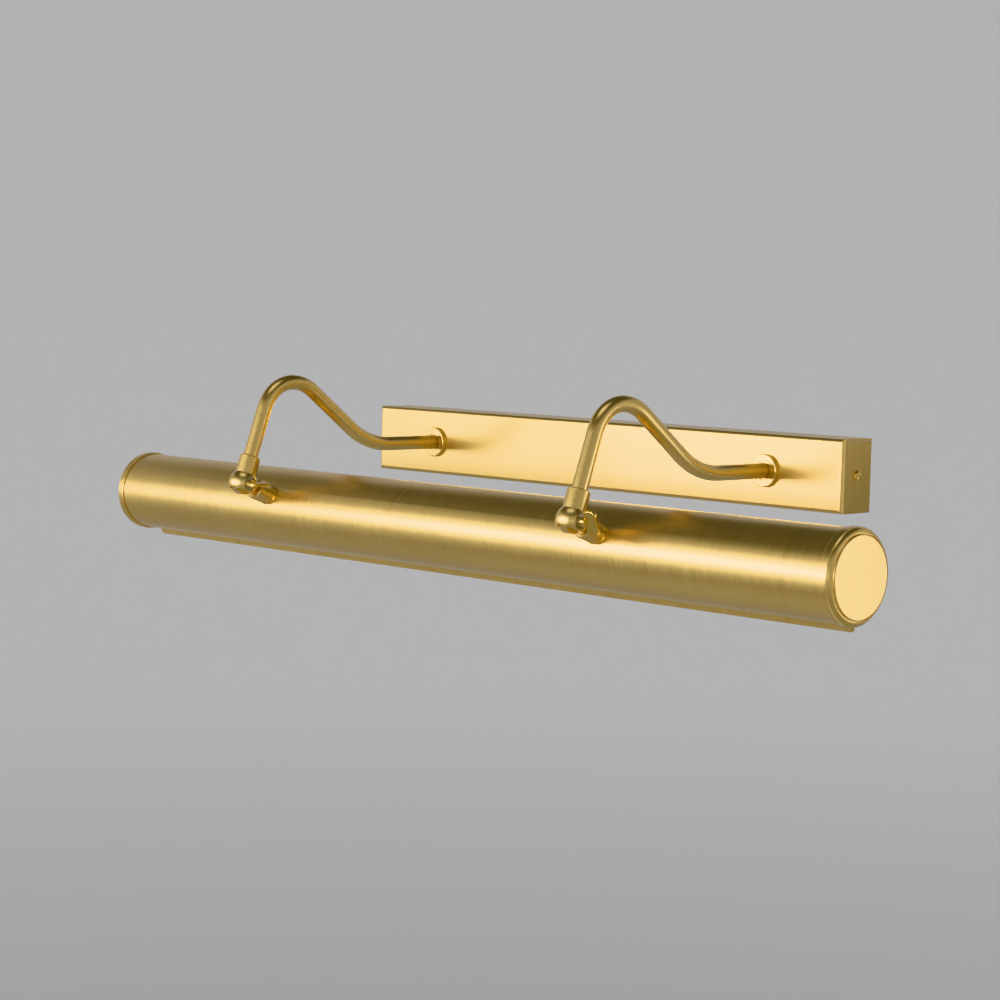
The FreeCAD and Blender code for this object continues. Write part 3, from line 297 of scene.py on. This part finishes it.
def flag_card():
    """One upright rectangle: its middle, plus or minus half its width across and half its height."""
    side, up = FLAG_ACROSS * FLAG_WIDTH / 2, Vector((0, 0, FLAG_HEIGHT / 2))
    signs = ((-1, -1), (1, -1), (1, 1), (-1, 1))
    mesh = bpy.data.meshes.new("studio_flag")
    mesh.from_pydata([FLAG_PLACE + a * side + b * up for a, b in signs], [], [(0, 1, 2, 3)])
    card = bpy.data.objects.new("studio_flag", mesh)
    bpy.context.scene.collection.objects.link(card)
    card.visible_camera = False
    return card


flag = flag_card()
grey_card, tree, shader = new_material("grey_card")
shader.inputs["Base Color"].default_value = (CARD_GREY, CARD_GREY, CARD_GREY, 1)
shader.inputs["Roughness"].default_value = 0.9
flag.data.materials.append(grey_card)
print("the flag is", FLAG_WIDTH, "by", FLAG_HEIGHT, "m")

# %% [markdown]
# ## Brushed grain
# Satin brass is brushed with an abrasive belt. Each grain leaves a long scratch, so the surface is
# full of streaks: very fine across the belt's travel and long along it. Stretched noise makes just
# that: the place on the piece is multiplied by a large number across the grain and by a small one
# along it before the noise reads it.


# %% Streaks and clouds
def link(tree, source, target):
    tree.links.new(source, target)


def streaks(tree, per_metre, detail=3.0, centre=(0, 0, 0)):
    """Noise of the object's own place, less a centre, times a number per metre along each axis."""
    place = tree.nodes.new("ShaderNodeTexCoord")
    mapping = tree.nodes.new("ShaderNodeMapping")
    mapping.inputs["Location"].default_value = [-c * p for c, p in zip(centre, per_metre)]
    mapping.inputs["Scale"].default_value = per_metre
    noise = tree.nodes.new("ShaderNodeTexNoise")
    noise.inputs["Scale"].default_value = 1.0
    noise.inputs["Detail"].default_value = detail
    noise.inputs["Roughness"].default_value = 0.62
    link(tree, place.outputs["Object"], mapping.inputs["Vector"])
    link(tree, mapping.outputs["Vector"], noise.inputs["Vector"])
    return noise.outputs["Fac"]


def blend_values(tree, first, second, share):
    """first + share * (second - first); share may be a number or a socket."""
    mix = tree.nodes.new("ShaderNodeMix")
    mix.data_type = "FLOAT"
    if isinstance(share, float):
        mix.inputs["Factor"].default_value = share
    else:
        link(tree, share, mix.inputs["Factor"])
    link(tree, first, mix.inputs["A"])
    link(tree, second, mix.inputs["B"])
    return mix.outputs["Result"]


def spread(tree, value, low, high, start=0.3, end=0.7):
    """Stretch the noise's usual span, start to end, over low to high."""
    span = tree.nodes.new("ShaderNodeMapRange")
    for name, number in (("From Min", start), ("From Max", end), ("To Min", low), ("To Max", high)):
        span.inputs[name].default_value = number
    link(tree, value, span.inputs["Value"])
    return span.outputs["Result"]


def colour_between(tree, value, dark, light):
    """A colour that runs from dark to light as the value runs from 0 to 1."""
    ramp = tree.nodes.new("ShaderNodeValToRGB")
    ramp.color_ramp.elements[0].color = (*dark, 1)
    ramp.color_ramp.elements[1].color = (*light, 1)
    ramp.color_ramp.elements[0].position = 0.25
    ramp.color_ramp.elements[1].position = 0.75
    link(tree, value, ramp.inputs["Fac"])
    return ramp.outputs["Color"]


def relief(tree, shader, value, depth, strength=1.0):
    """Tilt the surface's normal as if the value were a height of up to depth, in metres."""
    bump = tree.nodes.new("ShaderNodeBump")
    bump.inputs["Distance"].default_value = depth
    bump.inputs["Strength"].default_value = strength
    link(tree, value, bump.inputs["Height"])
    link(tree, bump.outputs["Normal"], shader.inputs["Normal"])


# %% [markdown]
# ## Satin brass
# The colour of brass is mostly in what it mirrors, so the base colour is a warm straw and the
# streaks change it by only a few hundredths. The streaks do more to the roughness, which is what
# the eye reads as brushing. Broad soft clouds stand for the uneven pull of the belt and of the
# lacquer over it.

# %% Make satin brass
BRASS_DARK, BRASS_LIGHT = (0.80, 0.56, 0.20), (0.89, 0.655, 0.265)
LACQUER_WEIGHT, LACQUER_ROUGHNESS = 0.35, 0.22


def brass(name, grain, rough, swing, depth, dark=BRASS_DARK, light=BRASS_LIGHT):
    """Brass whose colour, roughness and relief all follow one mix of fine, broad and cloudy noise."""
    material, tree, shader = new_material(name)
    fine = grain(tree, 2600, 3.0)
    broad = grain(tree, 420, 2.0)
    clouds = streaks(tree, (14, 14, 14), 2.0)
    brushing = blend_values(tree, fine, broad, 0.45)
    tone = blend_values(tree, brushing, clouds, 0.12)
    link(tree, colour_between(tree, tone, dark, light), shader.inputs["Base Color"])
    link(tree, spread(tree, tone, rough - swing, rough + swing), shader.inputs["Roughness"])
    relief(tree, shader, brushing, depth)
    shader.inputs["Metallic"].default_value = 1.0
    shader.inputs["Coat Weight"].default_value = LACQUER_WEIGHT
    shader.inputs["Coat Roughness"].default_value = LACQUER_ROUGHNESS
    return material


def grain_across_x(tree, fineness, detail):
    """Scratches that run round the tube, or up the cover: fine along X and long the other ways."""
    return streaks(tree, (fineness, fineness / 45, fineness / 45), detail)


tube_brass = brass("satin_brass_round", grain_across_x, 0.31, 0.055, 0.000012)
print("made", tube_brass.name)

# %% [markdown]
# The cover is one folded sheet, brushed upwards before it was folded. On its two ends the streaks
# still run up, and on the top and bottom they run back to the wall. An end cap is pressed from
# sheet and then dressed twice: its flat disc against a belt, straight across, and its rim in a
# lathe, round and round. In both, the surface's own normal tells the faces apart.


# %% Make the cover's and the caps' brass
def facing(tree, axis):
    """1 where the piece's own normal points along the axis, 0 where it is across it."""
    place = tree.nodes.new("ShaderNodeTexCoord")
    parts = tree.nodes.new("ShaderNodeSeparateXYZ")
    size = tree.nodes.new("ShaderNodeMath")
    size.operation = "ABSOLUTE"
    link(tree, place.outputs["Normal"], parts.inputs["Vector"])
    link(tree, parts.outputs[axis], size.inputs[0])
    return spread(tree, size.outputs["Value"], 0, 1, 0.8, 0.9)


def grain_folded(tree, fineness, detail):
    """Scratches up the front and the ends, and along Y on the top and the bottom."""
    upright = streaks(tree, (fineness, fineness, fineness / 60), detail)
    lying = streaks(tree, (fineness, fineness / 60, 8), detail)
    return blend_values(tree, upright, lying, facing(tree, "Z"))


def grain_cap(tree, fineness, detail):
    """Upright scratches on the disc, which looks along X, and round ones on the rim."""
    round_grain = grain_across_x(tree, fineness, detail)
    straight_grain = streaks(tree, (8, fineness, fineness / 60), detail)
    return blend_values(tree, round_grain, straight_grain, facing(tree, "X"))


cover_brass = brass("satin_brass_upright", grain_folded, 0.36, 0.055, 0.000011)
cap_brass = brass("satin_brass_cap", grain_cap, 0.30, 0.05, 0.000010)

# %% [markdown]
# The arms are bent first and then drawn by hand through a strip of abrasive cloth, so their
# scratches run along them. Both arms lie in upright planes across the wall, and a streak that is
# fine only along X follows them through every bend.


# %% Make the arms' and knuckles' brass
def grain_along_arm(tree, fineness, detail):
    """Fine along X and long in the arm's own plane."""
    return streaks(tree, (fineness * 1.6, fineness / 14, fineness / 14), detail)


def grain_even(tree, fineness, detail):
    """A tumbled finish: no direction at all."""
    return streaks(tree, (fineness / 2, fineness / 2, fineness / 2), detail)


arm_brass = brass("satin_brass_drawn", grain_along_arm, 0.29, 0.05, 0.000010)
knuckle_brass = brass("satin_brass_tumbled", grain_even, 0.30, 0.06, 0.000012)

# %% [markdown]
# ## Turned brass
# A rosette comes off a lathe, and the tool leaves circles about the arm. The noise reads one
# number only: the distance from the arm's axis. Both rosettes share a material, because the
# distance is taken from the nearer arm: X without its sign, less the arm's place.


# %% Make turned brass
def grain_turned(tree, fineness, detail):
    """Noise of the distance from the nearer arm's axis, the root of (|x| - arm_x)^2 + z^2."""
    place = tree.nodes.new("ShaderNodeTexCoord")
    mirrored = tree.nodes.new("ShaderNodeVectorMath")
    mirrored.operation = "ABSOLUTE"
    offset = tree.nodes.new("ShaderNodeVectorMath")
    offset.operation = "SUBTRACT"
    offset.inputs[1].default_value = (arm_x, 0, 0)
    flat = tree.nodes.new("ShaderNodeVectorMath")
    flat.operation = "MULTIPLY"
    flat.inputs[1].default_value = (1, 0, 1)
    distance = tree.nodes.new("ShaderNodeVectorMath")
    distance.operation = "LENGTH"
    noise = tree.nodes.new("ShaderNodeTexNoise")
    noise.noise_dimensions = "1D"
    noise.inputs["Scale"].default_value = fineness
    noise.inputs["Detail"].default_value = detail
    link(tree, place.outputs["Object"], mirrored.inputs[0])
    link(tree, mirrored.outputs["Vector"], offset.inputs[0])
    link(tree, offset.outputs["Vector"], flat.inputs[0])
    link(tree, flat.outputs["Vector"], distance.inputs[0])
    link(tree, distance.outputs["Value"], noise.inputs["W"])
    return noise.outputs["Fac"]


turned_brass = brass("turned_brass", grain_turned, 0.25, 0.07, 0.000022)
bright_brass = brass("bright_brass", grain_even, 0.20, 0.06, 0.000008,
                     (0.86, 0.55, 0.13), (0.95, 0.70, 0.24))
raw_brass = brass("machined_brass", grain_even, 0.36, 0.08, 0.000016,
                  (0.52, 0.36, 0.13), (0.72, 0.53, 0.22))
print("eight finishes of brass")

# %% [markdown]
# ## Zinc plate
# The bracket, nuts and washers are plated steel. Bright zinc has a spangle: patches a few
# millimetres wide that catch the light differently, with a faint blue and yellow cast from the
# passivation bath.


# %% Make zinc-plated steel
def zinc_plate():
    """Cells of a Voronoi pattern, softened by fine noise, set tone and roughness."""
    material, tree, shader = new_material("bright_zinc")
    place = tree.nodes.new("ShaderNodeTexCoord")
    cells = tree.nodes.new("ShaderNodeTexVoronoi")
    cells.inputs["Scale"].default_value = 260
    link(tree, place.outputs["Object"], cells.inputs["Vector"])
    parts = tree.nodes.new("ShaderNodeSeparateXYZ")
    link(tree, cells.outputs["Color"], parts.inputs["Vector"])
    fine = streaks(tree, (1400, 1400, 1400), 3.0)
    tone = blend_values(tree, parts.outputs["X"], fine, 0.6)
    colour = colour_between(tree, tone, (0.46, 0.49, 0.53), (0.66, 0.66, 0.62))
    link(tree, colour, shader.inputs["Base Color"])
    link(tree, spread(tree, tone, 0.26, 0.42), shader.inputs["Roughness"])
    relief(tree, shader, fine, 0.00001)
    shader.inputs["Metallic"].default_value = 1.0
    return material


zinc = zinc_plate()

# %% [markdown]
# ## Mouldings
# The bush is rubber, the terminal block is a pale nylon and the lampholders are black phenolic. A
# moulded surface keeps the mould's own texture: fine and even, with a duller patch here and there.


# %% Make the mouldings
def moulding(name, dark, light, rough, grain, depth):
    """A plastic or rubber whose tone and gloss vary softly, over a fine even grain."""
    material, tree, shader = new_material(name)
    fine = streaks(tree, (grain, grain, grain), 3.0)
    patches = streaks(tree, (90, 90, 90), 2.0)
    tone = blend_values(tree, fine, patches, 0.5)
    link(tree, colour_between(tree, tone, dark, light), shader.inputs["Base Color"])
    link(tree, spread(tree, tone, rough - 0.08, rough + 0.08), shader.inputs["Roughness"])
    relief(tree, shader, fine, depth)
    return material


rubber = moulding("bush_rubber", (0.012, 0.012, 0.012), (0.035, 0.034, 0.033), 0.62, 1800, 0.00003)
nylon = moulding("pale_nylon", (0.66, 0.64, 0.58), (0.78, 0.77, 0.72), 0.42, 1500, 0.00002)
phenolic = moulding("black_phenolic", (0.010, 0.009, 0.008), (0.030, 0.026, 0.022), 0.28, 1100, 0.00001)
ceramic = moulding("lamp_insulation", (0.02, 0.018, 0.03), (0.05, 0.045, 0.07), 0.18, 900, 0.00001)

# %% [markdown]
# ## Sleeves and glass
# The leads wear a woven glass-fibre sleeve, because the lamps get hot. Two waves that cross at an
# angle make its weave. The lamp's glass is clear and thin: it needs no pattern but a trace of
# unevenness, which is what makes drawn glass look like glass.


# %% Make the sleeve, the nickel and the glass
def woven_sleeve():
    """Two sets of slanted ridges, crossed by taking the higher of the two."""
    material, tree, shader = new_material("woven_sleeve")
    place = tree.nodes.new("ShaderNodeTexCoord")
    heights = []
    for slant in (1, -1):
        mapping = tree.nodes.new("ShaderNodeMapping")
        mapping.inputs["Rotation"].default_value = (slant * 0.7, slant * 0.7, slant * 0.7)
        wave = tree.nodes.new("ShaderNodeTexWave")
        wave.inputs["Scale"].default_value = 420
        wave.inputs["Distortion"].default_value = 0.6
        link(tree, place.outputs["Object"], mapping.inputs["Vector"])
        link(tree, mapping.outputs["Vector"], wave.inputs["Vector"])
        heights.append(wave.outputs["Fac"])
    higher = tree.nodes.new("ShaderNodeMath")
    higher.operation = "MAXIMUM"
    link(tree, heights[0], higher.inputs[0])
    link(tree, heights[1], higher.inputs[1])
    weave = higher.outputs["Value"]
    colour = colour_between(tree, weave, (0.52, 0.50, 0.45), (0.80, 0.78, 0.72))
    link(tree, colour, shader.inputs["Base Color"])
    link(tree, spread(tree, weave, 0.75, 0.55, 0, 1), shader.inputs["Roughness"])
    relief(tree, shader, weave, 0.00012)
    return material


def clear_glass():
    """Clear glass with faint drawing marks along the lamp."""
    material, tree, shader = new_material("clear_glass")
    marks = streaks(tree, (20, 260, 260), 2.0)
    shader.inputs["Base Color"].default_value = (0.97, 0.98, 0.97, 1)
    shader.inputs["Transmission Weight"].default_value = 1.0
    shader.inputs["IOR"].default_value = 1.5
    link(tree, spread(tree, marks, 0.02, 0.07), shader.inputs["Roughness"])
    relief(tree, shader, marks, 0.00003)
    return material


def plated(name, dark, light, rough):
    """A smooth plated metal with slight smears."""
    material, tree, shader = new_material(name)
    smears = blend_values(tree, streaks(tree, (300, 120, 120)), streaks(tree, (2000, 2000, 2000)), 0.4)
    link(tree, colour_between(tree, smears, dark, light), shader.inputs["Base Color"])
    link(tree, spread(tree, smears, rough - 0.05, rough + 0.08), shader.inputs["Roughness"])
    relief(tree, shader, smears, 0.000006)
    shader.inputs["Metallic"].default_value = 1.0
    return material


sleeve = woven_sleeve()
glass = clear_glass()
nickel = plated("nickel_plate", (0.50, 0.48, 0.43), (0.68, 0.66, 0.61), 0.22)
tungsten = plated("tungsten_wire", (0.10, 0.10, 0.10), (0.22, 0.21, 0.20), 0.34)
solder = plated("solder", (0.42, 0.42, 0.42), (0.60, 0.60, 0.58), 0.38)
print("five more finishes")

# %% [markdown]
# ## Dress the frame
# Each finish is now given to the pieces that wear it. A piece of the frame keeps its mesh, and only
# the material in its slot changes. Anything that the list forgets would show up in the count.

# %% Give each piece its finish
FINISHES = (
    (tube_brass, ("shade_tube",)),
    (cover_brass, ("cover",)),
    (cap_brass, ("end_cap_left", "end_cap_right")),
    (arm_brass, ("arm_left", "arm_right")),
    (knuckle_brass, ("knuckle_body_left", "knuckle_body_right", "knuckle_tongue_left",
                     "knuckle_tongue_right")),
    (turned_brass, ("rosette_left", "rosette_right")),
    (bright_brass, ("cover_screws", "wing_screw_left", "wing_screw_right")),
    (raw_brass, ("shade_nipples", "holder_nipples", "lampholder_contacts_left",
                 "lampholder_contacts_right")),
    (zinc, ("wall_bracket", "arm_nuts", "arm_lock_washers", "shade_nuts", "shade_lock_washers",
            "holder_nuts", "clamp_washer_left", "clamp_washer_right", "lamp_bracket_left",
            "lamp_bracket_right", "terminal_screws", "terminal_block_screw", "earth_screw",
            "earth_washer")),
    (rubber, ("cable_grommet",)),
    (nylon, ("terminal_block",)),
    (phenolic, ("lampholder_left", "lampholder_right")),
    (sleeve, ("lead_arm_left", "lead_arm_right", "lead_shade_left", "lead_shade_right")),
    (nickel, ("lamp_cap_left", "lamp_cap_right")),
    (glass, ("lamp_glass_left", "lamp_glass_right")),
)
for material, names in FINISHES:
    for name in names:
        nodes[name].data.materials.clear()
        nodes[name].data.materials.append(material)
dressed = {name for material, names in FINISHES for name in names}
print(len(dressed), "of", len(nodes), "pieces of the frame are dressed")

# %% [markdown]
# ## The lamps' threaded caps
# The screw thread of a small lamp is rolled into thin sheet, so it is a soft wave rather than a
# sharp ridge. The radius of the cap is a cosine of how far along it a point lies, less its turn
# about the axis: that makes one long helix. Near both ends the wave fades out into a plain ring.

# %% Roll a threaded cap
THREAD_PITCH, THREAD_DEPTH = 2.82 * MM, 0.7 * MM
BUTTON_RADIUS, BUTTON_HEIGHT = 2.2 * MM, 1.28 * MM
POLE = 0.01 * MM


def threaded_cap(name, side, start, end, radius):
    """Radius less half the thread's depth times one minus the cosine of the helix's phase."""
    along = np.linspace(0, 1, 130)[:, None]
    turn = np.linspace(0, 2 * math.pi, 48, endpoint=False)[None, :]
    x = start + along * (end - start)
    fade = np.clip(np.minimum(along, 1 - along) * 9, 0, 1)
    phase = 2 * math.pi * np.abs(x - start) / THREAD_PITCH - turn
    ring = radius - fade * THREAD_DEPTH * (1 - np.cos(phase)) / 2
    return grid_piece(name, shade_point(side * x, ring * np.cos(turn), ring * np.sin(turn)))


def turned_piece(name, side, profile, steps=40):
    """A profile of x and radius, turned about the shade's axis; it starts and ends at POLE."""
    x, radius = np.array(profile).T
    turn = np.linspace(0, 2 * math.pi, steps, endpoint=False)[None, :]
    return grid_piece(name, shade_point(side * x[:, None], radius[:, None] * np.cos(turn),
                                        radius[:, None] * np.sin(turn)))


for side, word in ((-1, "left"), (1, "right")):
    low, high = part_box("lamp_cap_" + word)
    cap_near, cap_far = sorted((abs(low[0]), abs(high[0])))
    cap_radius = (high[1] - low[1]) / 2
    shell_end, tip_start = cap_far - 4.2 * MM, cap_far - 1.3 * MM
    cap = threaded_cap("threaded_cap_" + word, side, cap_near, shell_end, cap_radius)
    place_piece(cap, "shade", nickel)
    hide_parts("lamp_cap_" + word)
    cone = [(shell_end - 0.3 * MM, POLE), (shell_end - 0.3 * MM, cap_radius - 0.9 * MM),
            (shell_end + 1.0 * MM, cap_radius - 1.3 * MM), (cap_far - 1.4 * MM, 3.1 * MM),
            (cap_far - 1.2 * MM, 2.4 * MM), (cap_far - 1.2 * MM, POLE)]
    place_piece(turned_piece("cap_insulation_" + word, side, cone), "shade", ceramic)
    angle = np.linspace(0, math.pi / 2, 9)
    button = [(tip_start, POLE)]
    button += [(tip_start + BUTTON_HEIGHT * math.sin(a), max(BUTTON_RADIUS * math.cos(a), POLE))
               for a in angle]
    place_piece(turned_piece("cap_contact_" + word, side, button), "shade", solder)
    print(word, "lamp cap:", round((cap_far - cap_near) / MM, 1), "mm long")

# %% [markdown]
# ## Inside the glass
# A tubular lamp has a glass stem in its neck, two stout wires that stand in it, and a coiled
# filament that runs most of the way along, held by small hooks. The filament is a tube carried
# along a helix: its centre line is a circle that moves along the axis as it turns, with a slight
# sag between the hooks.

# %% Carry a round section along a path
def rod_along(name, path, radius, sides=8):
    """Rings of points about a path, in two directions square to it and to each other."""
    ahead = np.gradient(path, axis=0)
    ahead /= np.linalg.norm(ahead, axis=1, keepdims=True)
    first = np.cross(ahead, sideways)
    lengths = np.linalg.norm(first, axis=1, keepdims=True)
    first = np.where(lengths > 1e-3, first / np.maximum(lengths, 1e-9), towards_pivot)
    second = np.cross(ahead, first)
    turn = np.linspace(0, 2 * math.pi, sides, endpoint=False)
    rings = (path[:, None] + radius * (np.cos(turn)[None, :, None] * first[:, None]
                                       + np.sin(turn)[None, :, None] * second[:, None]))
    return grid_piece(name, rings)


COIL_RADIUS, COIL_PITCH, WIRE_RADIUS = 0.42 * MM, 0.62 * MM, 0.11 * MM
COIL_SAG = 0.8 * MM


def filament_path(x_start, x_end, hooks):
    """A helix of constant pitch whose axis hangs by COIL_SAG in a half sine between hooks."""
    turns = abs(x_end - x_start) / COIL_PITCH
    along = np.linspace(0, 1, int(turns * 10))
    phase = 2 * math.pi * turns * along
    sag = COIL_SAG * np.abs(np.sin(math.pi * (hooks - 1) * along))
    x = x_start + along * (x_end - x_start)
    return shade_point(x, COIL_RADIUS * np.cos(phase) - sag * towards_pivot[2],
                       COIL_RADIUS * np.sin(phase) - sag * sideways[2])


HOOKS = 5
for side, word in ((-1, "left"), (1, "right")):
    low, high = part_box("lamp_glass_" + word)
    tip, neck = sorted((abs(low[0]), abs(high[0])))
    stem_end = neck - 24 * MM
    stem = [(neck - 1 * MM, POLE), (neck - 1 * MM, 4.6 * MM), (neck - 6 * MM, 3.2 * MM),
            (neck - 14 * MM, 2.4 * MM), (stem_end + 1 * MM, 2.6 * MM), (stem_end, 1.6 * MM),
            (stem_end, POLE)]
    place_piece(turned_piece("glass_stem_" + word, side, stem), "shade", glass)
    coil_start, coil_end = neck - 34 * MM, tip + 20 * MM
    coil = rod_along("filament_" + word, filament_path(side * coil_start, side * coil_end, HOOKS),
                     WIRE_RADIUS, 4)
    place_piece(coil, "shade", tungsten)
    backbone = np.linspace(stem_end + 3 * MM, coil_end - 4 * MM, 30)
    bow = np.clip((stem_end - backbone) / (6 * MM), 0, 1)
    spine = shade_point(side * backbone, np.full(30, -3.4 * MM) * bow)
    place_piece(rod_along("glass_rod_" + word, spine, 0.55 * MM), "shade", glass)
    for hook in range(HOOKS):
        x = coil_start + (coil_end - coil_start) * hook / (HOOKS - 1)
        angle = np.linspace(-0.4 * math.pi, 1.25 * math.pi, 18)
        loop = 0.62 * MM
        bend = shade_point(side * x, np.append(-3.5 * MM, -loop * np.cos(angle)),
                           np.append(0, loop * np.sin(angle)))
        place_piece(rod_along(f"filament_hook_{word}_{hook + 1}", bend, 0.12 * MM, 6), "shade",
                    tungsten)
    print(word, "filament:", round((coil_start - coil_end) / MM), "mm between its ends")
